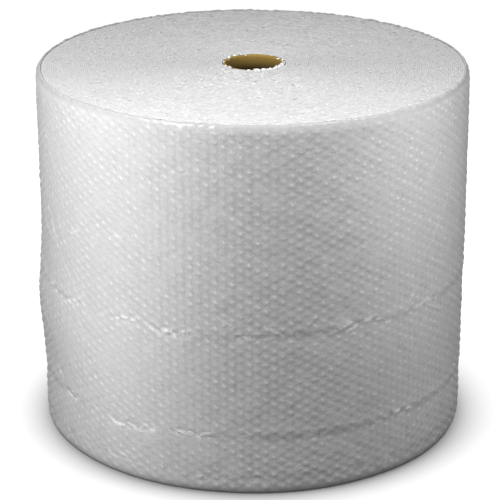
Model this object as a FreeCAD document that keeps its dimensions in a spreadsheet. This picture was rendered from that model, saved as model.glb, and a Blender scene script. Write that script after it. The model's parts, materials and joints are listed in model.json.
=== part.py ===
"""Roll of bubble wrap on a paper core, standing on its end.

The roll is two pieces: a paper core tube, and one long web of bubble film wound round it.
Millimetres, +Z up, with the origin on the core's axis where the roll stands on the floor.
The loose end of the film lies at the back, on the +Y side.
"""

import FreeCAD, Part
import Sketcher

import math
import os

DOCUMENT = "bubble_wrap_roll"
PARTS_FOLDER = "parts"

# Driving dimensions: alias, value and what it is. Lengths are in millimetres.
SIZES = [
    ("web_width", 500.0, "width of the film web, which is the height of the standing roll"),
    ("roll_diameter", 588.0, "diameter over the bubbles at the loose end of the film"),
    ("core_bore", 76.2, "inner diameter of the paper core"),
    ("core_wall", 3.5, "wall of the paper core"),
    ("core_inset", 1.0, "how far each end of the core lies inside the end of the film"),
    ("film_step", 3.5, "height of the step where the loose end of the film lies on the turn below"),
    ("bubble_pitch", 12.3, "distance between the centres of neighbouring bubbles"),
    ("bubble_relief", 2.2, "depth of the hollow between two columns of bubbles"),
    ("rim_drop", 5.0, "height over which the outer turns pull in at the upper end"),
    ("rim_inset", 6.0, "how far the outer turns pull in at the upper end"),
    ("crease_high", 227.0, "height of the upper crease that runs round the outer turn"),
    ("crease_low", 85.0, "height of the lower crease that runs round the outer turn"),
    ("crease_step", 3.0, "how far the film steps in below a crease"),
    ("crease_run", 5.0, "height of the slope where the film steps in at a crease"),
    ("turn_count", 11.0, "turns that stand out on the upper end of the roll"),
    ("turn_margin", 4.0, "width of the plain rings at the core and at the rim"),
    ("turn_gap", 3.6, "width of the gap between two turns at the upper end"),
    ("turn_depth", 3.0, "depth of the gap between two turns"),
    ("cutter_reach", 2.0, "how far a cutting section stands out of the film"),
]

# Expressions that several features share
CORE_OUTER = "(sizes.core_bore + 2 * sizes.core_wall)"
RIM_RADIUS = "(sizes.roll_diameter / 2 - sizes.film_step - sizes.bubble_relief - sizes.rim_inset)"
TURNS_WIDTH = f"({RIM_RADIUS} - {CORE_OUTER} / 2 - 2 * sizes.turn_margin)"
TURN_PITCH = f"({TURNS_WIDTH} / round(sizes.turn_count))"


def make_sheet(doc):
    """Spreadsheet with one aliased cell for each driving dimension."""
    sheet = doc.addObject("Spreadsheet::Sheet", "sizes")
    for row, (alias, value, meaning) in enumerate(SIZES, start=1):
        sheet.set(f"A{row}", alias)
        sheet.set(f"B{row}", str(value))
        sheet.setAlias(f"B{row}", alias)
        sheet.set(f"C{row}", meaning)
    doc.recompute()
    return sheet


def origin_feature(body, role):
    """The body's own origin plane or axis of that role."""
    return next(f for f in body.Origin.OriginFeatures if f.Role == role)


def sketch_on(body, role, name):
    """New sketch on one of the body's origin planes."""
    sketch = body.newObject("Sketcher::SketchObject", name)
    sketch.AttachmentSupport = (origin_feature(body, role), [""])
    sketch.MapMode = "FlatFace"
    return sketch


def value_of(owner, expression):
    """Plain number that an expression comes to."""
    value = owner.evalExpression(expression)
    return getattr(value, "Value", value)


def bind(sketch, kind, *places, expression):
    """Dimension in a sketch that follows an expression."""
    constraint = sketch.addConstraint(
        Sketcher.Constraint(kind, *places, value_of(sketch, expression))
    )
    sketch.setExpression(f"Constraints[{constraint}]", expression)


def add_circle(sketch, diameter):
    """Circle about the sketch's origin. diameter is an expression."""
    circle = sketch.addGeometry(
        Part.Circle(FreeCAD.Vector(), FreeCAD.Vector(0, 0, 1), value_of(sketch, diameter) / 2), False
    )
    sketch.addConstraint(Sketcher.Constraint("Coincident", circle, 3, -1, 1))
    bind(sketch, "Diameter", circle, expression=diameter)


def add_outline(sketch, corners):
    """Closed outline of straight lines. corners holds an (x, y) pair of expressions for each corner."""
    points = [FreeCAD.Vector(value_of(sketch, x), value_of(sketch, y), 0) for x, y in corners]
    lines = [
        sketch.addGeometry(Part.LineSegment(start, end), False)
        for start, end in zip(points, points[1:] + points[:1])
    ]
    for line, following in zip(lines, lines[1:] + lines[:1]):
        sketch.addConstraint(Sketcher.Constraint("Coincident", line, 2, following, 1))
    for line, (x, y) in zip(lines, corners):
        bind(sketch, "DistanceX", -1, 1, line, 1, expression=x)
        bind(sketch, "DistanceY", -1, 1, line, 1, expression=y)


def check_cut(doc, cut):
    """Stops if a cut took nothing away, as one that points out of the solid does."""
    doc.recompute()
    if not cut.Shape.Volume < cut.BaseFeature.Shape.Volume:
        raise RuntimeError(f"{cut.Name} cuts nothing")


# Paper core


def build_core(doc):
    """Paper tube: a ring padded between the two insets."""
    body = doc.addObject("PartDesign::Body", "core_body")
    body.Label = "paper_core"

    ring = sketch_on(body, "XY_Plane", "core_ring")
    ring.setExpression("AttachmentOffset.Base.z", "sizes.core_inset")
    add_circle(ring, CORE_OUTER)
    add_circle(ring, "sizes.core_bore")

    tube = body.newObject("PartDesign::Pad", "core_tube")
    tube.Profile = ring
    tube.setExpression("Length", "sizes.web_width - 2 * sizes.core_inset")
    doc.recompute()
    return body


# Bubble film


def column_count(sheet):
    """Columns of bubbles round the roll: close packed, so a column is less than a pitch from the next."""
    column_pitch = sheet.bubble_pitch * math.cos(math.radians(30))
    return round(math.pi * (sheet.roll_diameter - sheet.film_step) / column_pitch)


def film_outline(sheet):
    """Outline of the outer turn seen from above, as (x, y) points.

    The radius falls by one film step from the loose end, at the back, round to the turn below it. The
    crowns of the bubble columns and the hollows between them take turns along it.
    """
    columns = column_count(sheet)
    points = []
    for index in range(2 * columns + 1):
        turn = index / (2 * columns)
        radius = sheet.roll_diameter / 2 - sheet.film_step * turn
        if index % 2:
            radius -= sheet.bubble_relief
        angle = math.pi / 2 + 2 * math.pi * turn
        points.append((radius * math.cos(angle), radius * math.sin(angle)))
    return points


def film_levels(sheet):
    """(height, size of the outline there) from the floor up.

    The film steps in just below each crease and widens again towards the floor.
    """
    radius = sheet.roll_diameter / 2
    stepped = 1 - sheet.crease_step / radius
    return [
        (0.0, 1.0),
        (sheet.crease_low - sheet.crease_run, stepped),
        (sheet.crease_low, 1.0),
        (sheet.crease_high - sheet.crease_run, stepped),
        (sheet.crease_high, 1.0),
        (sheet.web_width - sheet.rim_drop, 1.0),
        (sheet.web_width, 1 - sheet.rim_inset / radius),
    ]


def build_film_blank(doc, sheet):
    """Solid between the outlines at all levels. Each facet is flat, because the outlines are scaled copies."""
    outline = film_outline(sheet)
    rings = [
        [FreeCAD.Vector(x * scale, y * scale, height) for x, y in outline]
        for height, scale in film_levels(sheet)
    ]
    faces = []
    for lower, upper in zip(rings, rings[1:]):
        for start in range(len(outline)):
            end = (start + 1) % len(outline)
            corners = [lower[start], lower[end], upper[end], upper[start], lower[start]]
            faces.append(Part.Face(Part.makePolygon(corners)))
    for ring in (rings[0], rings[-1]):
        faces.append(Part.Face(Part.makePolygon(ring + ring[:1])))
    solid = Part.makeSolid(Part.makeShell(faces))
    if solid.Volume < 0:
        solid.reverse()
    blank = doc.addObject("Part::Feature", "film_blank")
    blank.Shape = solid
    return blank


def add_turn_gaps(sketch, sheet):
    """Sections of the gaps between the turns: one V on each turn's inner side, point down."""
    first = f"({CORE_OUTER} / 2 + sizes.turn_margin + {TURN_PITCH} / 2)"
    half_width = "sizes.turn_gap / 2 * (1 + sizes.cutter_reach / sizes.turn_depth)"
    above = "sizes.web_width + sizes.cutter_reach"
    below = "sizes.web_width - sizes.turn_depth"
    for turn in range(round(sheet.turn_count)):
        middle = f"{first} + {turn} * {TURN_PITCH}"
        corners = [
            (middle, below),
            (f"{middle} + {half_width}", above),
            (f"{middle} - {half_width}", above),
        ]
        add_outline(sketch, corners)


def cut_turns(doc, body, sheet):
    """Spiral gap between the turns in the upper end, as two half-turn cuts.

    The cuts turn about axes a quarter of the turns' pitch to each side of the core's axis, so each gap
    of one half runs on into the next gap of the other half.
    """
    for half, side in (("back", "-"), ("front", "+")):
        section = sketch_on(body, "XZ_Plane", f"{half}_turns_section")
        add_turn_gaps(section, sheet)
        axis_x = f"{side}{TURN_PITCH} / 4"
        foot = FreeCAD.Vector(value_of(section, axis_x), 0, 0)
        axis = section.addGeometry(
            Part.LineSegment(foot, foot + FreeCAD.Vector(0, sheet.web_width, 0)), True
        )
        section.addConstraint(Sketcher.Constraint("Vertical", axis))
        bind(section, "DistanceX", -1, 1, axis, 1, expression=axis_x)

        cut = body.newObject("PartDesign::Groove", f"{half}_turns")
        cut.Profile = section
        cut.ReferenceAxis = (section, ["Axis0"])
        cut.Angle = 180
        cut.Reversed = side == "+"
        check_cut(doc, cut)


def build_film(doc, sheet):
    """Wound film: the blank, bored for the core, with the spiral of its turns cut into the upper end."""
    blank = build_film_blank(doc, sheet)
    body = doc.addObject("PartDesign::Body", "film_body")
    body.Label = "bubble_film"
    body.BaseFeature = blank

    mouth = sketch_on(body, "XY_Plane", "film_mouth")
    add_circle(mouth, CORE_OUTER)
    bore = body.newObject("PartDesign::Pocket", "film_bore")
    bore.Profile = mouth
    bore.Type = "ThroughAll"
    bore.Reversed = True
    check_cut(doc, bore)

    cut_turns(doc, body, sheet)
    return body


def check_objects(doc):
    """Stops if a feature failed."""
    failed = [o.Name for o in doc.Objects if "Invalid" in o.State or "Error" in o.State]
    if failed:
        raise RuntimeError(f"features failed: {failed}")


def export(pieces):
    """One STEP file for each piece, named by its label. Each piece has to be one valid solid."""
    os.makedirs(PARTS_FOLDER, exist_ok=True)
    for piece in pieces:
        shape = piece.Shape
        if shape.isNull() or not shape.isValid() or len(shape.Solids) != 1:
            raise RuntimeError(f"{piece.Label} isn't one valid solid")
        shape.exportStep(os.path.join(PARTS_FOLDER, piece.Label + ".step"))
        print(f"{piece.Label}: {shape.Volume / 1e6:.3f} litres, {len(shape.Faces)} faces")


def main():
    doc = FreeCAD.newDocument(DOCUMENT)
    sheet = make_sheet(doc)
    pieces = [build_core(doc), build_film(doc, sheet)]
    doc.recompute()
    check_objects(doc)
    export(pieces)


main()
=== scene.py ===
"""Looks of the bubble wrap roll: its film, its wound ends, its paper core and the studio round it.

The roll stands on its end. Its outer turn is one sheet of film that follows the winding, with a
bubble on each place of a close-packed pattern. The ends show the edges of all turns as one long
spiral.
"""

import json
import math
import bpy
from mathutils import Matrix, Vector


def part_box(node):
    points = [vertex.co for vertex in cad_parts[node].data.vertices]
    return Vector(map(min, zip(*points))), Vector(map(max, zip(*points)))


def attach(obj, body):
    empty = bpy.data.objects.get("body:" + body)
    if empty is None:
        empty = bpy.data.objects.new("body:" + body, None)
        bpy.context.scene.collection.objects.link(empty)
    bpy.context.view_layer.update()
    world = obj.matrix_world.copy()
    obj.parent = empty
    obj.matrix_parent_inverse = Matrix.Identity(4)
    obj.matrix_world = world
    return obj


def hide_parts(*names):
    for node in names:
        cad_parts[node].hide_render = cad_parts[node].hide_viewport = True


bl_info = {
    "name": "Bubble Wrap Roll",
    "version": (1, 0, 0),
    "blender": (4, 5, 0),
    "location": "3D View > Sidebar > Bubble Wrap",
    "description": "Dresses a roll of bubble wrap: film, wound ends, paper core and studio",
    "category": "Object",
}

import bpy
import numpy as np
from mathutils import Vector

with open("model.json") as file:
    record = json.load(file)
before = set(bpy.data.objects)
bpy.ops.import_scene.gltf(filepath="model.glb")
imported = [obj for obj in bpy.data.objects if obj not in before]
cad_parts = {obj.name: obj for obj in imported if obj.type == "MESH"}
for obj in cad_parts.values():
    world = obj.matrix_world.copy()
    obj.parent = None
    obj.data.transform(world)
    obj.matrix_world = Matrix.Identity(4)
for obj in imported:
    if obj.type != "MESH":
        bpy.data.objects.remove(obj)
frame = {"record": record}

FILM_LOW, FILM_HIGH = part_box("bubble_film")
CORE_LOW, CORE_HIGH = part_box("paper_core")
CORE_BORE = next(m for m in frame["record"]["mounts"] if m["name"] == "core_bore")
TAU = 2 * math.pi
MM = 0.001
# A turn is 0 at the loose end, at the back, and goes by the left, the front and the right to 1.
LEFT = 0.25
# Height of the lowest bubble's middle, in pitches, in every other column.
FIRST_ROW = 0.4


def measure(name, description, default, unit="LENGTH"):
    """Setting in metres, or in another unit."""
    return bpy.props.FloatProperty(name=name, description=description, default=default, unit=unit)


def tint(name, description, default):
    """Setting for a linear colour."""
    return bpy.props.FloatVectorProperty(
        name=name,
        description=description,
        default=default,
        subtype="COLOR",
        size=3,
        min=0.0,
        max=1.0,
    )


class FilmSizes(bpy.types.PropertyGroup):
    """Sizes of the film and of its winding."""

    loose_end_radius: measure(
        "Loose End Radius", "Radius over the bubbles where the film ends", FILM_HIGH.y
    )
    step: measure("Step", "How far the loose end stands out from the turn below it", 3.5 * MM)
    width: measure(
        "Film Width", "Width of the film, which is the height of the roll", FILM_HIGH.z - FILM_LOW.z
    )
    bubble_pitch: measure(
        "Bubble Pitch", "Distance between the middles of neighbouring bubbles", 12.3 * MM
    )
    bubble_diameter: measure(
        "Bubble Diameter", "Diameter of a bubble where it meets the film", 10.8 * MM
    )
    bubble_height: measure("Bubble Height", "How far a bubble stands out of the film", 1.5 * MM)
    rim_inset: measure("Rim Inset", "How far the upper edge of the outer turn pulls in", 5.5 * MM)
    rim_drop: measure("Rim Drop", "Height over which the upper edge pulls in", 11.0 * MM)
    turn_thickness: measure(
        "Turn Thickness", "Distance from one turn of the film to the next", 2.6 * MM
    )
    upper_crease: measure("Upper Crease", "Height of the upper crease round the roll", 227 * MM)
    lower_crease: measure("Lower Crease", "Height of the lower crease round the roll", 85 * MM)
    bulge: measure(
        "Bulge", "How far the film bulges out on its left, between the creases", 6.5 * MM
    )


class FilmLook(bpy.types.PropertyGroup):
    """Colours and gloss of the film."""

    colour: tint("Film", "Milky colour of many layers of film", (0.66, 0.66, 0.66))
    # Painted shade between the bubbles.
    hollow_shade_colour: tint(
        "Hollows", "Colour between the bubbles and in the creases", (0.61, 0.61, 0.61)
    )
    # Painted highlight: the bright marks on the bubbles, the folds and the wrinkles; the torn
    # flecks on the ends are whitened towards it too.
    painted_highlight_colour: tint(
        "Painted Highlight",
        "Whiter colour on top of the bubbles and on folds, where the film is stretched",
        (0.98, 0.98, 0.98),
    )
    end_colour: tint(
        "Ends", "Colour of the cut edges of the film at the ends of the roll", (0.51, 0.51, 0.51)
    )
    roughness: bpy.props.FloatProperty(
        name="Roughness", description="How matt the film is", default=0.16, min=0.0, max=1.0
    )
    end_roughness: bpy.props.FloatProperty(
        name="End Roughness", description="How matt the ends are", default=0.3, min=0.0, max=1.0
    )


class CoreLook(bpy.types.PropertyGroup):
    """Sizes and colours of the paper core."""

    ply_width: measure("Ply Width", "Width of the paper strip that the core is wound from", 95 * MM)
    ply_angle: bpy.props.FloatProperty(
        name="Ply Angle",
        description="Slope of the paper strip's edges",
        default=math.radians(42),
        subtype="ANGLE",
    )
    colour: tint("Paper", "Brown of the paper", (0.27, 0.17, 0.035))
    fibre_colour: tint("Fibres", "Lighter brown of the paper's fibres", (0.37, 0.25, 0.07))


class StageSettings(bpy.types.PropertyGroup):
    """Camera, lamps and background."""

    lens: bpy.props.FloatProperty(
        name="Lens",
        description="Focal length on a 36 mm wide frame, in millimetres",
        default=142.9,
    )
    distance: measure("Distance", "From the core's axis to the camera, level", 2.585)
    rise: measure("Rise", "From the upper end of the roll up to the camera", 0.723)
    pitch: bpy.props.FloatProperty(
        name="Pitch",
        description="How far the camera looks down",
        default=math.radians(21.05),
        subtype="ANGLE",
    )
    shift: bpy.props.FloatProperty(
        name="Shift", description="Sideways shift of the picture", default=-0.007
    )
    key_power: measure("Key Lamp", "Power of the high lamp at the front left", 8.1, "POWER")
    side_power: measure("Side Lamp", "Power of the high lamp at the left", 6.0, "POWER")
    right_power: measure("Right Lamp", "Power of the high lamp at the right", 7.5, "POWER")
    left_strip_power: measure("Left Strip", "Power of the tall lamp near the left", 0.45, "POWER")
    right_strip_power: measure("Right Strip", "Power of the tall lamp near the right", 0.8, "POWER")
    back_power: measure("Back Lamp", "Power of the lamp behind the roll", 10.0, "POWER")
    ambient: bpy.props.FloatProperty(
        name="Ambient", description="Strength of the light from all round", default=0.1
    )


# Meshes


def ripples(seed, count, turns_round, waves_up, angle, height):
    """Smooth random relief from -1 to 1 or so: a sum of plane waves over the unrolled film.

    Each wave goes a whole number of times round the roll, up to turns_round, so that the relief
    closes on itself, and up to waves_up times over a metre of height, with a random phase.
    """
    random = np.random.default_rng(seed)
    round_count = random.integers(1, turns_round + 1, count)
    up_count = random.uniform(-waves_up, waves_up, count)
    phase = random.uniform(0, TAU, count)
    relief = np.zeros(np.broadcast(angle, height).shape)
    for n, m, p in zip(round_count, up_count, phase):
        relief += np.cos(n * angle + TAU * m * height + p)
    spread, usual_peak = math.sqrt(count / 2), 1.4
    return relief / spread / usual_peak


def smooth_step(value):
    """0 below 0, 1 above 1 and a soft S between: 3 v^2 - 2 v^3."""
    value = np.clip(value, 0, 1)
    return value * value * (3 - 2 * value)


def bell(value, middle, width):
    """1 at the middle, and less on both sides: e^(-((value - middle) / width)^2)."""
    return np.exp(-(((value - middle) / width) ** 2))


def grid_faces(rows, columns, closed=False):
    """Corner numbers of a grid's quads, with its points row by row. closed joins the row's ends."""
    row = np.arange(rows - 1)[:, None] * columns
    column = np.arange(columns if closed else columns - 1)[None, :]
    after = (column + 1) % columns
    corners = [row + column, row + after, row + columns + after, row + columns + column]
    return np.stack(np.broadcast_arrays(*corners), axis=-1).reshape(-1, 4)


def add_piece(name, points, faces, material, values):
    """Mesh object at the origin that rides with the roll. values holds, by name, one number for
    each point, or on a grid one vector."""
    mesh = bpy.data.meshes.new(name)
    mesh.from_pydata(points.tolist(), [], faces.tolist())
    mesh.shade_smooth()
    for value_name, numbers in values.items():
        numbers = np.asarray(numbers, np.float32)
        kind, field = ("FLOAT_VECTOR", "vector") if numbers.ndim == 3 else ("FLOAT", "value")
        attribute = mesh.attributes.new(value_name, kind, "POINT")
        attribute.data.foreach_set(field, numbers.ravel())
    mesh.materials.append(material)
    piece = bpy.data.objects.new(name, mesh)
    bpy.context.scene.collection.objects.link(piece)
    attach(piece, "root")
    return piece


def round_the_core(turn, radius, height):
    """Points from their turn, their distance from the core's axis and their height."""
    # The back, where a turn is 0, lies a quarter of a circle on from +X.
    angle = TAU * (turn + 0.25)
    shape = np.broadcast(turn, radius, height).shape
    parts = [radius * np.cos(angle), radius * np.sin(angle), height]
    return np.stack([np.broadcast_to(part, shape) for part in parts], axis=-1).reshape(-1, 3)


def crease_lines(sizes, turn):
    """Height, depth and reach of each crease at that turn. They wander a little on their way."""
    wander = 1.6 * MM * ripples(5, 7, 9, 0, TAU * turn, 0)
    return [
        (sizes.upper_crease + wander, 1.3 * MM, 22 * MM),
        (sizes.lower_crease - wander, 1.8 * MM, 20 * MM),
        (28 * MM + 2 * wander, 0.7 * MM, 12 * MM),
        (341 * MM - 2 * wander, 0.3 * MM, 14 * MM),
    ]


def crease_relief(sizes, turn, height):
    """How far the film steps in below each crease. Above it there is a low lip, a bell curve, and
    below it the film comes back out slowly: depth x e^(-way below / reach). All are shallow in one
    place, at the left of the front."""
    shallow_turn, shallow_width, shallow_share = 0.41, 0.09, 0.85
    step_height, lip_height, lip_share = 10 * MM, 4 * MM, 0.25
    relief = np.zeros(np.broadcast(turn, height).shape)
    share = 1 - shallow_share * bell(turn, shallow_turn, shallow_width)
    for crease, depth, reach in crease_lines(sizes, turn):
        depth = depth * share
        below = crease - height
        stepped = smooth_step(below / step_height) * np.exp(-np.maximum(below, 0) / reach)
        relief += lip_share * depth * bell(below, -lip_height, lip_height) - depth * stepped
    return relief


def crumple(sizes, turn, height):
    """0 to 1: how crumpled the film is. It is crumpled in patches just below the creases, above all
    at the left of the front and a little right of its middle, and less at a shallow crease."""
    half_height, full_depth = 5 * MM, 1.3 * MM
    amount = np.zeros(np.broadcast(turn, height).shape)
    angle = TAU * turn
    place = 0.05 + 0.75 * bell(turn, 0.44, 0.07) + 0.5 * bell(turn, 0.6, 0.04)
    for number, (crease, depth, _) in enumerate(crease_lines(sizes, turn)):
        patches = smooth_step(place + 0.7 * ripples(20 + number, 12, 40, 0, angle, 0))
        middle = crease - 3 * MM + 3 * MM * ripples(24 + number, 12, 30, 0, angle, 0)
        near = bell(height, middle, half_height)
        amount = np.maximum(amount, near * patches * min(depth / full_depth, 1))
    return amount


def wrinkles(sizes, turn, height):
    """Folds where the film was pulled tight: short slanting ones, most of them on the left and at
    the upper crease, and a few long faint ones that sweep down on the left and the right.

    Each is a ridge with a bell-shaped section on a slightly bent line, and fades out at both ends:
    rise x e^(-(across / width)^2 - (2 along / length)^4).
    """
    left_count, other_count, long_count = 26, 20, 10
    count, bend = left_count + other_count, 0.15
    random = np.random.default_rng(17)
    middle_turn = np.concatenate(
        [random.normal(LEFT, 0.055, left_count), random.uniform(0.02, 0.98, other_count)]
    )
    near_crease = sizes.upper_crease + random.normal(0, 22 * MM, count)
    middle_height = np.where(
        random.random(count) < 0.5, near_crease, random.uniform(0.06, 0.9, count) * sizes.width
    )
    slant = np.radians(random.choice([-1, 1], count) * random.uniform(18, 50, count))
    length = random.uniform(18, 60, count) * MM
    width = random.uniform(0.9, 2.0, count) * MM
    rise = random.uniform(0.4, 1.1, count) * MM

    is_right = np.arange(long_count) % 2
    long_turn = 0.31 + 0.38 * is_right + random.normal(0, 0.02, long_count)
    middle_turn = np.append(middle_turn, long_turn)
    middle_height = np.append(middle_height, random.uniform(0.45, 0.72, long_count) * sizes.width)
    long_slant = (2 * is_right - 1) * random.uniform(48, 64, long_count)
    slant = np.append(slant, np.radians(long_slant))
    length = np.append(length, random.uniform(150, 260, long_count) * MM)
    width = np.append(width, random.uniform(0.8, 1.3, long_count) * MM)
    rise = np.append(rise, random.uniform(0.25, 0.5, long_count) * MM)

    relief = np.zeros(np.broadcast(turn, height).shape)
    for t, h, s, l, w, r in zip(middle_turn, middle_height, slant, length, width, rise):
        x = (turn - t) * TAU * sizes.loose_end_radius
        y = height - h
        along = x * math.cos(s) + y * math.sin(s)
        across = y * math.cos(s) - x * math.sin(s) - bend * along**2 / l
        relief += r * np.exp(-((across / w) ** 2) - (along / (0.5 * l)) ** 4)
    return relief


def folds(turn, height):
    """-1 to 1 or so: the small folds of a crease, which are longer round the roll than up it."""
    return ripples(3, 60, 120, 140, TAU * turn, height)


def film_radius(sizes, turn, height):
    """Radius of the film of the outer turn, without its bubbles.

    It falls by one step over the turn. On it lie the creases, the bulge on the left (a bell curve
    round the roll and up it), a flare at the foot, long and short waves, wrinkles, the crumples
    along the creases, and the lift of the loose end.
    """
    bulge_width, bulge_middle, bulge_reach = 0.11, 175 * MM, 62 * MM
    flare, flare_reach = 1.2 * MM, 60 * MM
    lift, lift_reach = 1.5 * MM, 0.006
    angle = TAU * turn
    radius = sizes.loose_end_radius - sizes.step * turn - sizes.bubble_height
    radius = radius + crease_relief(sizes, turn, height)
    across = (turn - LEFT) / bulge_width
    up = (height - bulge_middle) / bulge_reach
    radius += sizes.bulge * np.exp(-(across**2) - up**2)
    radius += flare * np.exp(-height / flare_reach)
    radius += 0.5 * MM * ripples(1, 24, 9, 6, angle, height)
    radius += 0.2 * MM * ripples(2, 40, 60, 30, angle, height)
    radius += wrinkles(sizes, turn, height)
    radius += 0.8 * MM * crumple(sizes, turn, height) * folds(turn, height)
    unevenness = 1 + 0.5 * ripples(4, 6, 1, 12, 0 * angle, height)
    radius += lift * np.exp(-turn / lift_reach) * unevenness
    return radius


def bubble_columns(sizes):
    """Distance between two columns of bubbles, and how many columns go round the roll."""
    column_pitch = sizes.bubble_pitch * math.cos(math.radians(30))
    return column_pitch, round(TAU * (sizes.loose_end_radius - sizes.step / 2) / column_pitch)


def bubble_pattern(sizes, turn, height):
    """0 on the flat film between bubbles, up to 1 on the middle of a full one:
    (1 - (d / reach)^2)^0.75, where d is the distance from the nearest bubble's middle.

    Columns of bubbles run up the film, half a pitch up and down by turns. Each bubble has its own
    size, fullness and lean, and a few are nearly flat.
    """
    flat_share, flat_fullness = 0.03, 0.35
    column_pitch, columns = bubble_columns(sizes)
    rows = int(sizes.width / sizes.bubble_pitch) + 2
    random = np.random.default_rng(11)
    fullness = np.clip(random.normal(0.92, 0.13, (columns, rows)), 0.4, 1.2)
    fullness *= np.where(random.random((columns, rows)) < flat_share, flat_fullness, 1.0)
    reach = sizes.bubble_diameter / 2 * random.normal(1, 0.02, (columns, rows))
    shift_across = random.normal(0, 0.1 * MM, (columns, rows))
    shift_up = random.normal(0, 0.25 * MM, (columns, rows))
    lean_across = random.normal(0, 0.12, (columns, rows))
    lean_up = random.normal(0.05, 0.12, (columns, rows))

    turn, height = np.broadcast_arrays(turn, height)
    column = np.minimum((turn * columns).astype(int), columns - 1)
    place_up = height / sizes.bubble_pitch - FIRST_ROW - 0.5 * (column % 2)
    row = np.clip(np.round(place_up), 0, rows - 1).astype(int)
    across = (turn * columns - column - 0.5) * column_pitch - shift_across[column, row]
    up = (place_up - row) * sizes.bubble_pitch - shift_up[column, row]
    share = np.hypot(across, up) / reach[column, row]
    rise = np.maximum(1 - share**2, 0) ** 0.75 * fullness[column, row]
    lean = lean_across[column, row] * across + lean_up[column, row] * up
    return rise * (1 + 2 * lean / sizes.bubble_diameter)


def film_band(sizes, low, high):
    """Film of the outer turn between two heights, on a grid of five points to a bubble each way.

    The radius is that of the smooth film plus the bubbles. The lowest band starts with a small
    round at the floor, and the highest one ends with an elliptic round over the rim and a lap down
    inside. The first column is the edge of the loose end, seen at the back. The values are 1
    between the bubbles (hollow), where the film is crumpled, on its folds (fold), on the rounds
    (edge) and on the lap, and the vectors are the surface's direction without bubbles (smooth) and
    the column and row of the pattern (place).
    """
    points_per_bubble, bend_steps = 5, 6
    foot, foot_top = [(5.0, 1.5), (3.0, 0.1), (1.6, 2.0), (0.7, 5.0), (0.2, 9.0)], 10 * MM
    lap_inset, lap_drop = 1.5 * MM, 3 * MM
    wave_reach, wave_height = 15 * MM, 0.55 * MM
    _, columns = bubble_columns(sizes)
    spacing = sizes.bubble_pitch / points_per_bubble
    turn = np.concatenate([[0.0], np.linspace(0, 1, points_per_bubble * columns + 1)])[None, :]
    top = sizes.width - sizes.rim_drop
    steps = np.arange(round(low / spacing), round(high / spacing) + 1) * spacing
    profile = [(0, h) for h in steps if foot_top < h < top]
    if low == 0:
        profile = [(inset * MM, h * MM) for inset, h in foot] + profile
    if high >= top:
        bend = np.linspace(0, math.pi / 2, bend_steps)
        inset = sizes.rim_inset * (1 - np.cos(bend))
        rise = top + sizes.rim_drop * np.sin(bend)
        profile += list(zip(inset, rise))
        profile.append((sizes.rim_inset + lap_inset, sizes.width - lap_drop))
    inset, height = np.array(profile).T[:, :, None]
    bubble = bubble_pattern(sizes, turn, height) * (inset < 0.6 * MM)
    crumpled = crumple(sizes, turn, height)
    flat = film_radius(sizes, turn, height) - inset
    radius = flat + sizes.bubble_height * bubble * (1 - 0.8 * crumpled)
    near_top = smooth_step((height - sizes.width + wave_reach) / wave_reach)
    height = height + wave_height * near_top * ripples(7, 30, 170, 0, TAU * turn, 0)

    smooth = round_the_core(turn, flat, height).reshape(*radius.shape, 3)
    smooth = np.cross(np.gradient(smooth, axis=1), np.gradient(smooth, axis=0))
    # The first two columns lie in one place, so the first has no direction of its own.
    smooth[:, 0] = smooth[:, 1]
    smooth /= np.linalg.norm(smooth, axis=2, keepdims=True)
    # The edge of the loose end reaches in to the turn below it.
    radius[:, 0] = flat[:, -1]
    points = round_the_core(turn, radius, height)
    row = height / sizes.bubble_pitch - FIRST_ROW
    # Mask of the painted highlight on the folds of the crumples and on the wrinkles.
    fold = 0.85 * crumpled * smooth_step(1.8 * folds(turn, height) - 0.1)
    fold = np.maximum(fold, 0.6 * smooth_step(wrinkles(sizes, turn, height) / MM))
    # Mask of the rounds, which take the ends' colour darkened as painted shade.
    edge = np.clip(inset / (1.5 * MM), 0, 1)
    # Mask of the painted shade on the lap inside the rim.
    lap = smooth_step((inset - sizes.rim_inset) / MM)
    # hollow masks the painted shade between the bubbles.
    values = {
        "hollow": 1 - bubble,
        "crumpled": crumpled,
        "fold": fold,
        "edge": np.broadcast_to(edge, radius.shape),
        "lap": np.broadcast_to(lap, radius.shape),
        "smooth": smooth,
        "place": np.stack(np.broadcast_arrays(turn * columns, row, 0.0), axis=-1),
    }
    return points, grid_faces(*radius.shape)[:, ::-1], values


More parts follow.
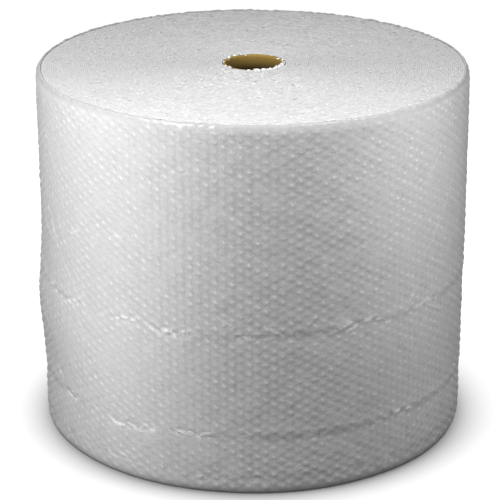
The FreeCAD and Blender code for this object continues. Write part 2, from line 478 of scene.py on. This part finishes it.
def wound_end(sizes, spacing, upper):
    """End of the roll: the edges of its inner turns as one long ribbon with a roof-shaped section.

    Way w counts turns from the outer one: its radius is r0 - t w, and the length of film up to
    there is S = 2 pi (r0 w - t w^2 / 2), so points evenly spaced along the film lie at
    w = (r0 - sqrt(r0^2 - t S / pi)) / t. The section runs from the gap outside the turn over its
    crest to the gap inside it. The crest wanders with the cut bubbles, and the end sinks towards
    its rim.
    """
    half_width, rim_reach, core_overlap = 0.55, 1.6 * MM, 0.2 * MM
    gap_depth, rim_depth, rim_width = 1.5 * MM, 1.0 * MM, 12 * MM
    thickness = sizes.turn_thickness
    start = sizes.loose_end_radius - sizes.bubble_height - sizes.rim_inset - sizes.step
    last = CORE_HIGH.x + thickness / 2
    length = math.pi * (start**2 - last**2) / thickness
    along = np.arange(0, length, spacing)
    way = (start - np.sqrt(start**2 - thickness * along / math.pi)) / thickness
    random = np.random.default_rng(31)

    def wander(wave):
        """Random numbers from -1 to 1, with straight runs of a wave's length between them."""
        knots = random.uniform(-1, 1, int(length / wave) + 2)
        return np.interp(along, np.arange(len(knots)) * wave, knots)

    cut_bubbles = np.cos(TAU * along / sizes.bubble_pitch + 3 * wander(90 * MM))
    aside = thickness * (0.30 * wander(11 * MM) + 0.34 * wander(4.5 * MM) + 0.12 * cut_bubbles)
    low = 0.6 + 0.25 * cut_bubbles + 0.9 * wander(5 * MM) + 0.4 * wander(50 * MM)
    low = np.maximum(low, 0) * 0.8 * MM
    side = np.array([[1.0], [0.0], [-1.0]])
    is_gap = np.abs(side)
    is_crest = 1 - is_gap
    reach = thickness * half_width * side + np.where((side > 0) & (way < 1), rim_reach, 0.0)
    radius = start - thickness * way + aside * is_crest + reach
    radius = np.maximum(radius, CORE_HIGH.x - core_overlap)
    depth = low * is_crest + gap_depth * is_gap
    depth += rim_depth * smooth_step((radius - start + rim_width) / rim_width)
    points = round_the_core(way, radius, sizes.width - depth if upper else depth)
    faces = grid_faces(3, len(along))
    values = {"gap": np.broadcast_to(is_gap, radius.shape)}
    return points, faces[:, ::-1] if upper else faces, values


def paper_tube(look):
    """Core as a closed ring profile turned round its axis, with the seams of its plies.

    A seam is a groove where the distance from the strip's edge, measured across the helix, is near
    0. The upper mouth is a little frayed.
    """
    rows, columns = 150, 144
    soft, seam_width, seam_depth, fray_height = 0.35 * MM, 0.9 * MM, 0.25 * MM, 0.25 * MM
    low, high = CORE_LOW.z, CORE_HIGH.z
    bore, outside = CORE_BORE["dims"]["r_mm"] * MM, CORE_HIGH.x
    inner = [(bore, h) for h in np.linspace(low + soft, high - soft, rows)]
    upper = [(bore + soft, high), (outside - soft, high)]
    outer = [(outside, high - soft), (outside, low + soft)]
    lower = [(outside - soft, low), (bore + soft, low)]
    radius, height = np.array(inner + upper + outer + lower + inner[:1]).T[:, :, None]
    turn = np.linspace(0, 1, columns + 1)[None, :-1]
    lead = TAU * bore * math.tan(look.ply_angle)
    strips = max(1, round(lead * math.cos(look.ply_angle) / look.ply_width))
    from_edge = (turn * strips - height * strips / lead) % 1.0
    from_edge = np.minimum(from_edge, 1 - from_edge) * look.ply_width
    seam = bell(from_edge, 0, seam_width)
    is_inner = np.abs(radius - bore) < 0.01 * MM
    radius = radius + seam_depth * seam * is_inner
    fray = fray_height * ripples(41, 40, 60, 0, TAU * turn, 0)
    height = height + fray * (height > high - 2 * soft)
    points = round_the_core(turn, radius, height)
    faces = grid_faces(*radius.shape, closed=True)
    return points, faces, {"seam": np.broadcast_to(seam, radius.shape)}


def flecks(sizes, seed, turn, radius, width, length, lift, dip, whitest):
    """Torn bits of film on the upper end: one small curled patch at each turn and radius.

    Each is a grid over its width and length. It starts on the wound end, arches up along a sine as
    high as lift, and ends dip lower, towards the core. Its far edge is ragged and it is wavy
    across. Each is whiter than the wound end by a random share of whitest.
    """
    across_count, along_count, sunk = 5, 4, 0.6 * MM
    random = np.random.default_rng(seed)
    count = len(turn)
    across = np.linspace(-1, 1, across_count)[None, :, None]
    along = np.linspace(0, 1, along_count)[None, None, :]

    def spread(values):
        """One value for each patch, to go with its grid."""
        return values[:, None, None]

    skew = spread(random.uniform(-1.2, 1.2, count))
    ragged = 1 - 0.45 * np.abs(np.sin(7 * across + spread(random.uniform(0, 9, count))))
    reach = along * ragged * spread(length)
    height = sizes.width - sunk + spread(lift) * np.sin(math.pi * 0.85 * along)
    height = height - spread(dip) * along**2
    height = height + 0.25 * spread(lift) * np.sin(5 * across + 9 * along + spread(radius) / MM)
    sideways = (across * spread(width) / 2 + skew * reach) / (TAU * spread(radius))
    points = round_the_core(spread(turn) + sideways, spread(radius) - reach, height)
    size = across_count * along_count
    first = size * np.arange(count)[:, None, None]
    faces = (grid_faces(across_count, along_count)[None] + first).reshape(-1, 4)
    white = np.repeat(random.uniform(0.2, 1.0, count) * whitest, size)
    return points, faces, {"white": white}


def mouth_scraps(sizes):
    """Torn bits round the core's mouth, which hang over its edge: most are at its front right."""
    random = np.random.default_rng(8)
    count, front_share, front_right = 70, 0.6, 0.62
    turn = np.where(
        random.random(count) < front_share,
        random.normal(front_right, 0.07, count),
        random.uniform(0, 1, count),
    )
    radius = CORE_HIGH.x + random.uniform(-0.5, 2.5, count) * MM
    ranges = ((2.0, 5.5), (2.0, 6.5), (0.4, 2.4), (0.0, 2.6))
    width_to_dip = [random.uniform(*limits, count) * MM for limits in ranges]
    return flecks(sizes, 9, turn, radius, *width_to_dip, whitest=0.9)


def end_flecks(sizes):
    """Torn bits all over the upper end: closest together in front of the core's mouth."""
    random = np.random.default_rng(12)
    count, near_count, front = 900, 180, 0.5
    outer = sizes.loose_end_radius - sizes.step - 8 * MM
    inner = CORE_HIGH.x + 4 * MM
    share = random.random(count)
    share[:near_count] = random.beta(1, 6, near_count)
    turn = random.uniform(0, 1, count)
    turn[:near_count] = random.normal(front, 0.12, near_count)
    radius = np.sqrt(inner**2 + share * (outer**2 - inner**2))
    ranges = ((1.5, 4.5), (1.5, 3.5), (0.2, 0.9), (-0.3, 0.6))
    width_to_dip = [random.uniform(*limits, count) * MM for limits in ranges]
    return flecks(sizes, 13, turn, radius, *width_to_dip, whitest=0.5)


# Materials


def new_group(name, inputs, outputs):
    """Empty node group. inputs holds (name, kind, default) and outputs holds (name, kind)."""
    group = bpy.data.node_groups.new(name, "ShaderNodeTree")
    for socket, kind, default in inputs:
        made = group.interface.new_socket(socket, in_out="INPUT", socket_type=kind)
        if default is not None:
            made.default_value = default
    for socket, kind in outputs:
        group.interface.new_socket(socket, in_out="OUTPUT", socket_type=kind)
    return group, group.nodes.new("NodeGroupInput"), group.nodes.new("NodeGroupOutput")


def fill(tree, socket, value):
    """Link a value that is a socket to another socket, or else set it there."""
    if isinstance(value, bpy.types.NodeSocket):
        tree.links.new(value, socket)
    else:
        socket.default_value = value


def math_node(tree, operation, *values, kind="ShaderNodeMath"):
    """First output of a math node. Each value is a number, a vector or a socket to link."""
    node = tree.nodes.new(kind)
    node.operation = operation
    for socket, value in zip(node.inputs, values):
        fill(tree, socket, value)
    return node.outputs[0]


def vector_node(tree, operation, *values):
    """Vector that a vector math node puts out."""
    return math_node(tree, operation, *values, kind="ShaderNodeVectorMath")


def noise(tree, place, scale, detail=2.0):
    """Socket of soft noise from 0 to 1."""
    node = tree.nodes.new("ShaderNodeTexNoise")
    for name, value in (("Vector", place), ("Scale", scale), ("Detail", detail)):
        fill(tree, node.inputs[name], value)
    return node.outputs[0]


def kind_of_ray(tree, *names):
    """1 for rays of the kinds named and 0 for others."""
    path = tree.nodes.new("ShaderNodeLightPath")
    seen = path.outputs[names[0]]
    for name in names[1:]:
        seen = math_node(tree, "MAXIMUM", seen, path.outputs[name])
    return seen


def crinkle_group():
    """Fine creases of crisp film: ridged noise at two sizes. Puts out the height, about 0 to 1."""
    found = bpy.data.node_groups.get("Crinkle")
    if found:
        return found
    group, given, out = new_group(
        "Crinkle",
        [("Vector", "NodeSocketVector", None), ("Size", "NodeSocketFloat", 0.004)],
        [("Height", "NodeSocketFloat")],
    )
    finer, cell_share = 1.7, 0.35
    scale = math_node(group, "DIVIDE", 1.0, given.outputs["Size"])
    coarse = noise(group, given.outputs["Vector"], scale)
    coarse.node.inputs["Distortion"].default_value = 0.6
    cells = group.nodes.new("ShaderNodeTexVoronoi")
    group.links.new(given.outputs["Vector"], cells.inputs["Vector"])
    group.links.new(math_node(group, "MULTIPLY", scale, finer), cells.inputs["Scale"])
    ridge = math_node(group, "ABSOLUTE", math_node(group, "SUBTRACT", coarse, 0.5))
    ridge = math_node(group, "MULTIPLY", ridge, 2.0)
    fine = math_node(group, "MULTIPLY", cells.outputs[0], cell_share)
    group.links.new(math_node(group, "ADD", ridge, fine), out.inputs["Height"])
    return group


def mottle_group():
    """Soft cloudy patches between two colours."""
    found = bpy.data.node_groups.get("Mottle")
    if found:
        return found
    group, given, out = new_group(
        "Mottle",
        [
            ("Vector", "NodeSocketVector", None),
            ("Size", "NodeSocketFloat", 0.05),
            ("Amount", "NodeSocketFloat", 0.5),
            ("Colour", "NodeSocketColor", (0.8, 0.8, 0.8, 1)),
            ("Other Colour", "NodeSocketColor", (0.6, 0.6, 0.6, 1)),
        ],
        [("Colour", "NodeSocketColor")],
    )
    scale = math_node(group, "DIVIDE", 1.0, given.outputs["Size"])
    clouds = noise(group, given.outputs["Vector"], scale, 3.0)
    share = math_node(group, "MULTIPLY", clouds, given.outputs["Amount"])
    colour = mix_colours(group, share, given.outputs["Colour"], given.outputs["Other Colour"])
    group.links.new(colour, out.inputs["Colour"])
    return group


def new_material(name):
    """Material with its shader, and a socket that puts out object coordinates."""
    material = bpy.data.materials.new(name)
    material.use_nodes = True
    shader = material.node_tree.nodes["Principled BSDF"]
    place = material.node_tree.nodes.new("ShaderNodeTexCoord").outputs["Object"]
    return material, material.node_tree, shader, place


def add_group(tree, group, **inputs):
    """Node of a group. Each input is a number, a colour or a socket to link."""
    node = tree.nodes.new("ShaderNodeGroup")
    node.node_tree = group
    for name, value in inputs.items():
        fill(tree, node.inputs[name.replace("_", " ")], value)
    return node


def read_value(tree, name, output="Fac"):
    """Socket of a number, or as output Vector of a vector, stored on a piece's points."""
    node = tree.nodes.new("ShaderNodeAttribute")
    node.attribute_name = name
    return node.outputs[output]


def add_bump(tree, shader, height, distance, normal=None):
    """Fine relief on a shader, over another normal where one is given."""
    bump = tree.nodes.new("ShaderNodeBump")
    bump.inputs["Distance"].default_value = distance
    tree.links.new(height, bump.inputs["Height"])
    if normal:
        tree.links.new(normal, bump.inputs["Normal"])
    tree.links.new(bump.outputs["Normal"], shader.inputs["Normal"])


def add_gloss(shader, roughness):
    """Clear gloss coat over a softer base."""
    shader.inputs["Roughness"].default_value = 0.5
    shader.inputs["Coat Weight"].default_value = 1.0
    shader.inputs["Coat IOR"].default_value = 1.5
    shader.inputs["Coat Roughness"].default_value = roughness


def mix_colours(tree, factor, first, second):
    """Colour between two, each a colour or a socket."""
    mix = tree.nodes.new("ShaderNodeMix")
    mix.data_type = "RGBA"
    for name, value in (("Factor", factor), ("A", first), ("B", second)):
        fill(tree, mix.inputs[name], value)
    return mix.outputs["Result"]


def with_alpha(colour, shade=1.0):
    """Colour property as four numbers, darker by a shade."""
    return (*(c * shade for c in colour), 1.0)


def scatter_group():
    """Normal for light that scatters through many layers of film: that of the smooth roll, given as
    Smooth, turned towards the surface's own by the share given as Follow."""
    found = bpy.data.node_groups.get("Scatter")
    if found:
        return found
    group, given, out = new_group(
        "Scatter",
        [("Smooth", "NodeSocketVector", None), ("Follow", "NodeSocketFloat", 0.3)],
        [("Normal", "NodeSocketVector")],
    )
    smooth = vector_node(group, "NORMALIZE", given.outputs["Smooth"])
    own = group.nodes.new("ShaderNodeNewGeometry").outputs["Normal"]
    turned = vector_node(group, "SCALE", vector_node(group, "SUBTRACT", own, smooth))
    group.links.new(given.outputs["Follow"], turned.node.inputs["Scale"])
    between = vector_node(group, "ADD", smooth, turned)
    group.links.new(vector_node(group, "NORMALIZE", between), out.inputs["Normal"])
    return group


def bubble_marks(tree, place):
    """Masks of the painted highlight on each bubble and of the painted shade in lines between the
    rows of bubbles.

    The mark is a slanting ellipse, found from the place of the nearest bubble's middle: the whole
    number of the column, and of the row after half a row is taken off in every other column. A
    bubble's row number plus half its column number is whole as well, so the lines between slanting
    rows lie halfway between whole numbers. Both fall off as e^-(way / width)^2, differ in strength
    from bubble to bubble and fade in patches. Ways and widths are shares of a column or a row.
    """
    mark_width, mark_height, mark_slant, mark_up, mark_scatter = 0.22, 0.13, 0.4, 0.12, 0.16
    line_width, steep_line, other_line = 0.10, 0.48, 0.2
    patch_scale, faint = 22.0, 0.25
    parts = tree.nodes.new("ShaderNodeSeparateXYZ")
    tree.links.new(read_value(tree, "place", "Vector"), parts.inputs[0])
    column = math_node(tree, "FLOOR", parts.outputs["X"])
    across = math_node(tree, "SUBTRACT", parts.outputs["X"], column)
    across = math_node(tree, "SUBTRACT", across, 0.5)
    shift = math_node(tree, "MULTIPLY", math_node(tree, "MODULO", column, 2.0), 0.5)
    up = math_node(tree, "SUBTRACT", parts.outputs["Y"], shift)
    row = math_node(tree, "ROUND", up)
    up = math_node(tree, "SUBTRACT", up, row)
    number = tree.nodes.new("ShaderNodeCombineXYZ")
    tree.links.new(column, number.inputs["X"])
    tree.links.new(row, number.inputs["Y"])
    chance = tree.nodes.new("ShaderNodeTexWhiteNoise")
    chance.noise_dimensions = "2D"
    tree.links.new(number.outputs["Vector"], chance.inputs["Vector"])
    chances = tree.nodes.new("ShaderNodeSeparateColor")
    tree.links.new(chance.outputs["Color"], chances.inputs["Color"])
    patches = noise(tree, place, patch_scale)
    clear = math_node(tree, "MULTIPLY_ADD", patches, 3.4, -0.9)
    clear.node.use_clamp = True
    clear = math_node(tree, "MULTIPLY_ADD", clear, 1 - faint, faint)

    def squared(way, width):
        """(way / width)^2."""
        return math_node(tree, "POWER", math_node(tree, "DIVIDE", way, width), 2.0)

    def fall_off(away):
        """e^-away."""
        return math_node(tree, "EXPONENT", math_node(tree, "MULTIPLY", away, -1.0))

    up = math_node(tree, "MULTIPLY_ADD", chances.outputs["Blue"], mark_scatter, up)
    slanted = math_node(tree, "MULTIPLY_ADD", across, mark_slant, up)
    slanted = math_node(tree, "SUBTRACT", slanted, mark_up)
    away = math_node(tree, "ADD", squared(across, mark_width), squared(slanted, mark_height))
    strength = math_node(tree, "MULTIPLY_ADD", chances.outputs["Red"], 0.55, 0.05)
    mark = math_node(tree, "MULTIPLY", fall_off(away), strength)
    mark = math_node(tree, "MULTIPLY", mark, clear)

    def line(slope, strength):
        """Line between the rows of bubbles that run at that slope."""
        rows = math_node(tree, "MULTIPLY_ADD", parts.outputs["X"], slope, parts.outputs["Y"])
        rows = math_node(tree, "ADD", rows, -slope / 2)
        from_row = math_node(tree, "SUBTRACT", rows, math_node(tree, "ROUND", rows))
        from_line = math_node(tree, "SUBTRACT", 0.5, math_node(tree, "ABSOLUTE", from_row))
        return math_node(tree, "MULTIPLY", fall_off(squared(from_line, line_width)), strength)

    lines = math_node(tree, "MAXIMUM", line(0.5, steep_line), line(-0.5, other_line))
    strength = math_node(tree, "MULTIPLY_ADD", chances.outputs["Green"], 0.7, 0.3)
    lines = math_node(tree, "MULTIPLY", math_node(tree, "MULTIPLY", lines, strength), clear)
    return mark, lines


def film_material(look):
    """Milky film under a gloss coat.

    The milk shades much as the smooth roll does, because light scatters far under the bubbles, and
    the coat follows each bubble. The gloss fades where the film is seen edge on, because the
    bubbles hide one another there, and over the rim, where the film is cut. The colour holds
    painted shade between the bubbles, in lines between the rows, over the rounds and on the lap
    inside the rim, and painted highlights in a mark on each bubble and on the folds.
    """
    hollow_shade_share, line_shade, edge_shade, lap_shade = 0.6, 0.55, 0.75, 0.15
    follow, crumpled_follow = 0.3, 0.4
    crinkle_depth, crumpled_crinkle = 0.00035, 2.5
    gloss, gloss_fall, edge_gloss_loss = 2.1, 2.6, 0.7
    material, tree, shader, place = new_material("Bubble film")
    crumpled, edge = read_value(tree, "crumpled"), read_value(tree, "edge")
    crinkle = add_group(tree, crinkle_group(), Vector=place, Size=0.005)
    clouds = add_group(
        tree,
        mottle_group(),
        Vector=place,
        Size=0.03,
        Amount=0.5,
        Colour=with_alpha(look.colour),
        Other_Colour=with_alpha(look.colour, 0.84),
    )
    grain = add_group(
        tree,
        mottle_group(),
        Vector=place,
        Size=0.0028,
        Amount=1.0,
        Colour=clouds.outputs["Colour"],
        Other_Colour=with_alpha(look.colour, 0.7),
    )
    # Painted shade between the bubbles.
    hollow = math_node(tree, "MULTIPLY", read_value(tree, "hollow"), hollow_shade_share)
    # Painted highlight on each bubble (light) and painted shade in lines between the rows (dark).
    light, dark = bubble_marks(tree, place)
    # White of the painted highlight.
    painted_highlight_and_fibre_place = with_alpha(look.painted_highlight_colour)
    colour = grain.outputs["Colour"]
    # Painted shade between the bubbles, in the lines between rows, over the rounds (the ends'
    # colour, darkened) and on the lap; painted highlight in the marks and on the folds.
    for share, other in (
        (hollow, with_alpha(look.hollow_shade_colour)),
        (dark, with_alpha(look.colour, line_shade)),
        (light, painted_highlight_and_fibre_place),
        (read_value(tree, "fold"), painted_highlight_and_fibre_place),
        (edge, with_alpha(look.end_colour, edge_shade)),
        (read_value(tree, "lap"), with_alpha(look.end_colour, lap_shade)),
    ):
        colour = mix_colours(tree, share, colour, other)
    tree.links.new(colour, shader.inputs["Base Color"])
    scatter = add_group(
        tree,
        scatter_group(),
        Smooth=read_value(tree, "smooth", "Vector"),
        Follow=math_node(tree, "MULTIPLY_ADD", crumpled, crumpled_follow, follow),
    )
    relief = math_node(tree, "MULTIPLY_ADD", crumpled, crumpled_crinkle, 1.0)
    height = math_node(tree, "MULTIPLY", crinkle.outputs["Height"], relief)
    add_bump(tree, shader, height, crinkle_depth, scatter.outputs["Normal"])
    add_gloss(shader, look.roughness)
    shader.inputs["Specular IOR Level"].default_value = 0.1
    facing = tree.nodes.new("ShaderNodeLayerWeight").outputs["Facing"]
    weight = math_node(tree, "MULTIPLY_ADD", facing, -gloss_fall, gloss)
    weight.node.use_clamp = True
    uncut = math_node(tree, "MULTIPLY_ADD", edge, -edge_gloss_loss, 1.0)
    weight = math_node(tree, "MULTIPLY", weight, uncut)
    tree.links.new(weight, shader.inputs["Coat Weight"])
    return material


def end_material(look):
    """Cut edges of the film: cloudy on the crests, with painted shade in the gaps, white on some of
    the flecks in the film's painted highlight colour, and strongly crinkled."""
    light, dark, crinkle_depth = 1.42, 0.78, 0.0003
    material, tree, shader, place = new_material("Film edges")
    clouds = add_group(
        tree,
        mottle_group(),
        Vector=place,
        Size=0.004,
        Amount=1.0,
        Colour=with_alpha(look.end_colour, light),
        Other_Colour=with_alpha(look.end_colour, dark),
    )
    colour = clouds.outputs["Colour"]
    # Painted shade in the gaps between the turns.
    colour = mix_colours(tree, read_value(tree, "gap"), colour, with_alpha(look.end_colour, dark))
    white = with_alpha(look.painted_highlight_colour)
    colour = mix_colours(tree, read_value(tree, "white"), colour, white)
    tree.links.new(colour, shader.inputs["Base Color"])
    scatter = add_group(tree, scatter_group(), Smooth=(0.0, 0.0, 1.0), Follow=0.25)
    crinkle = add_group(tree, crinkle_group(), Vector=place, Size=0.0035)
    height = crinkle.outputs["Height"]
    add_bump(tree, shader, height, crinkle_depth, scatter.outputs["Normal"])
    add_gloss(shader, look.end_roughness)
    shader.inputs["Coat Weight"].default_value = 0.4
    return material


def paper_material(look):
    """Brown paper board: cloudy, with fibres across it and darker lines at the seams of its plies.
    It is darker further in from the mouth: painted shade."""
    painted_shade_depth, inner_shade, fibre_share, seam_share, seam_shade = 1 / 55.0, 0.1, 0.7, 0.6, 0.45
    material, tree, shader, place = new_material("Core paper")
    clouds = add_group(
        tree,
        mottle_group(),
        Vector=place,
        Size=0.018,
        Amount=0.6,
        Colour=with_alpha(look.colour),
        Other_Colour=with_alpha(look.colour, 0.75),
    )
    # Place stretched along the tube, for the paper's fibres.
    painted_highlight_and_fibre_place = vector_node(tree, "MULTIPLY", place, (1.0, 1.0, 0.12))
    fibres = noise(tree, painted_highlight_and_fibre_place, 900.0, 3.0)
    parts = tree.nodes.new("ShaderNodeSeparateXYZ")
    tree.links.new(place, parts.inputs[0])
    # Painted shade: the paper darkens with depth below the mouth, down to inner_shade.
    depth = math_node(tree, "SUBTRACT", CORE_HIGH.z, parts.outputs["Z"])
    painted_shade_share = math_node(tree, "MULTIPLY", depth, 1 / painted_shade_depth)
    painted_shade_share.node.use_clamp = True
    fibre = math_node(tree, "MULTIPLY", fibres, fibre_share)
    seam = math_node(tree, "MULTIPLY", read_value(tree, "seam"), seam_share)
    colour = clouds.outputs["Colour"]
    for share, other in (
        (fibre, with_alpha(look.fibre_colour)),
        (seam, with_alpha(look.colour, seam_shade)),
        (painted_shade_share, with_alpha(look.colour, inner_shade)),
    ):
        colour = mix_colours(tree, share, colour, other)
    tree.links.new(colour, shader.inputs["Base Color"])
    shader.inputs["Roughness"].default_value = 0.85
    shader.inputs["Specular IOR Level"].default_value = 0.2
    add_bump(tree, shader, fibres, 0.0003)
    return material


def background_material():
    """Floor that looks white to the camera and in reflections, and still shows the roll's shadow,
    partly as a painted shadow in its glow.

    Its glow is dimmer next to the roll, where the roll keeps light off it: a painted shadow, by
    contact x min(e^(-fall x way from the film), most).
    """
    contact, fall, most, forward = 0.67, 31.0, 1.3, 0.01
    material = bpy.data.materials.new("White floor")
    material.use_nodes = True
    tree = material.node_tree
    tree.nodes.clear()
    out = tree.nodes.new("ShaderNodeOutputMaterial")
    diffuse = tree.nodes.new("ShaderNodeBsdfDiffuse")
    diffuse.inputs["Color"].default_value = (0.2, 0.2, 0.2, 1)
    glow = tree.nodes.new("ShaderNodeEmission")
    seen = kind_of_ray(tree, "Is Camera Ray", "Is Glossy Ray", "Is Transmission Ray")
    place = tree.nodes.new("ShaderNodeTexCoord").outputs["Object"]
    moved = vector_node(tree, "ADD", place, (0.0, forward, 0.0))
    length = vector_node(tree, "LENGTH", moved).node.outputs["Value"]
    away = math_node(tree, "SUBTRACT", length, FILM_HIGH.x)
    # Painted shadow in the glow, strongest next to the film.
    shade = math_node(tree, "EXPONENT", math_node(tree, "MULTIPLY", away, -fall))
    shade = math_node(tree, "MINIMUM", shade, most)
    glowing = math_node(tree, "MULTIPLY_ADD", shade, -contact, 1.0)
    tree.links.new(math_node(tree, "MULTIPLY", seen, glowing), glow.inputs["Strength"])
    both = tree.nodes.new("ShaderNodeAddShader")
    tree.links.new(diffuse.outputs[0], both.inputs[0])
    tree.links.new(glow.outputs[0], both.inputs[1])
    tree.links.new(both.outputs[0], out.inputs["Surface"])
    return material


# Operators


class ROLL_OT_film(bpy.types.Operator):
    """Make the outer turn of the film and its bubbles"""

    bl_idname = "roll.film"
    bl_label = "Film"

    def execute(self, context):
        sizes, look = context.scene.film_sizes, context.scene.film_look
        material = film_material(look)
        cuts = [0, sizes.lower_crease, sizes.upper_crease, sizes.width]
        names = ["film_low", "film_middle", "film_high"]
        for name, low, high in zip(names, cuts, cuts[1:]):
            points, faces, values = film_band(sizes, low, high)
            band = add_piece(name, points, faces, material, values)
            if low == 0:
                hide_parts("bubble_film")
        return {"FINISHED"}


class ROLL_OT_ends(bpy.types.Operator):
    """Make the wound ends of the roll and the torn scraps at the core's mouth"""

    bl_idname = "roll.ends"
    bl_label = "Wound Ends"

    def execute(self, context):
        sizes, look = context.scene.film_sizes, context.scene.film_look
        material = end_material(look)
        for name, spacing, upper in (("upper_end", 2.2 * MM, True), ("lower_end", 5 * MM, False)):
            points, faces, values = wound_end(sizes, spacing, upper)
            add_piece(name, points, faces, material, values)
        for name, (points, faces, values) in (
            ("mouth_scraps", mouth_scraps(sizes)),
            ("end_flecks", end_flecks(sizes)),
        ):
            add_piece(name, points, faces, material, values)
        return {"FINISHED"}


class ROLL_OT_core(bpy.types.Operator):
    """Make the wound paper core"""

    bl_idname = "roll.core"
    bl_label = "Paper Core"

    def execute(self, context):
        look = context.scene.core_look
        points, faces, values = paper_tube(look)
        tube = add_piece("core_tube", points, faces, paper_material(look), values)
        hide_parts("paper_core")
        return {"FINISHED"}


class ROLL_OT_stage(bpy.types.Operator):
    """Make the camera, the lamps, the floor and the white background"""

    bl_idname = "roll.stage"
    bl_label = "Stage"

    def execute(self, context):
        scene, stage = context.scene, context.scene.stage_settings
        scene.view_settings.view_transform = "Standard"

        camera = bpy.data.objects.new("Camera", bpy.data.cameras.new("Camera"))
        scene.collection.objects.link(camera)
        camera.data.lens, camera.data.sensor_width = stage.lens, 36
        camera.data.shift_x = stage.shift
        camera.location = (0, -stage.distance, FILM_HIGH.z + stage.rise)
        camera.rotation_euler = (math.pi / 2 - stage.pitch, 0, 0)
        scene.camera = camera

        # Degrees round from the front to the right, way from the axis, height, size and reflection.
        square, strip, wide = (0.3, 0.3), (0.1, 0.6), (0.8, 0.5)
        aim = Vector((0, 0, 0.4))
        for name, power, around, away, height, size, is_reflected in (
            ("Key lamp", stage.key_power, -35, 0.84, 1.15, square, True),
            ("Side lamp", stage.side_power, -55, 0.8, 1.2, square, True),
            ("Right lamp", stage.right_power, 55, 0.6, 1.4, square, True),
            ("Left strip", stage.left_strip_power, -40, 0.52, 0.34, strip, False),
            ("Right strip", stage.right_strip_power, 43, 0.52, 0.56, strip, False),
            ("Back lamp", stage.back_power, 180, 1.3, 0.4, wide, False),
        ):
            lamp = bpy.data.lights.new(name, "AREA")
            lamp.shape, lamp.energy = "RECTANGLE", power
            lamp.size, lamp.size_y = size
            holder = bpy.data.objects.new(name, lamp)
            scene.collection.objects.link(holder)
            holder.visible_glossy = is_reflected
            turn = math.radians(around)
            holder.location = (away * math.sin(turn), -away * math.cos(turn), height)
            from_aim = holder.location - aim
            holder.rotation_euler = from_aim.to_track_quat("Z", "Y").to_euler()

        corners = [(-6, -6, 0), (6, -6, 0), (6, 6, 0), (-6, 6, 0)]
        mesh = bpy.data.meshes.new("floor")
        mesh.from_pydata(corners, [], [(0, 1, 2, 3)])
        mesh.materials.append(background_material())
        floor = bpy.data.objects.new("floor", mesh)
        scene.collection.objects.link(floor)

        world = scene.world or bpy.data.worlds.new("World")
        scene.world = world
        world.use_nodes = True
        tree = world.node_tree
        background = tree.nodes["Background"]
        background.inputs["Color"].default_value = (1, 1, 1, 1)
        seen = kind_of_ray(tree, "Is Camera Ray", "Is Transmission Ray")
        strength = math_node(tree, "MULTIPLY_ADD", seen, 1 - stage.ambient, stage.ambient)
        tree.links.new(strength, background.inputs["Strength"])
        return {"FINISHED"}


class ROLL_PT_panel(bpy.types.Panel):
    """Sizes, colours and steps of the roll"""

    bl_idname = "ROLL_PT_panel"
    bl_label = "Bubble Wrap Roll"
    bl_space_type = "VIEW_3D"
    bl_region_type = "UI"
    bl_category = "Bubble Wrap"

    def draw(self, context):
        for title, owner, operators in PANEL_ROWS:
            box = self.layout.box()
            box.label(text=title)
            settings = getattr(context.scene, owner)
            for name in type(settings).__annotations__:
                box.prop(settings, name)
            for operator in operators:
                box.operator(operator)


PANEL_ROWS = (
    ("Film sizes", "film_sizes", ("roll.film",)),
    ("Film look", "film_look", ("roll.ends",)),
    ("Core", "core_look", ("roll.core",)),
    ("Stage", "stage_settings", ("roll.stage",)),
)
SETTINGS = {
    "film_sizes": FilmSizes,
    "film_look": FilmLook,
    "core_look": CoreLook,
    "stage_settings": StageSettings,
}
CLASSES = (
    *SETTINGS.values(),
    ROLL_OT_film,
    ROLL_OT_ends,
    ROLL_OT_core,
    ROLL_OT_stage,
    ROLL_PT_panel,
)


def register():
    for cls in CLASSES:
        bpy.utils.register_class(cls)
    for name, group in SETTINGS.items():
        setattr(bpy.types.Scene, name, bpy.props.PointerProperty(type=group))


def unregister():
    for name in SETTINGS:
        delattr(bpy.types.Scene, name)
    for cls in reversed(CLASSES):
        bpy.utils.unregister_class(cls)


def main():
    """Makes the whole scene."""
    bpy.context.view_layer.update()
    register()
    bpy.ops.roll.film()
    bpy.ops.roll.ends()
    bpy.ops.roll.core()
    bpy.ops.roll.stage()


if __name__ == "__main__":
    main()
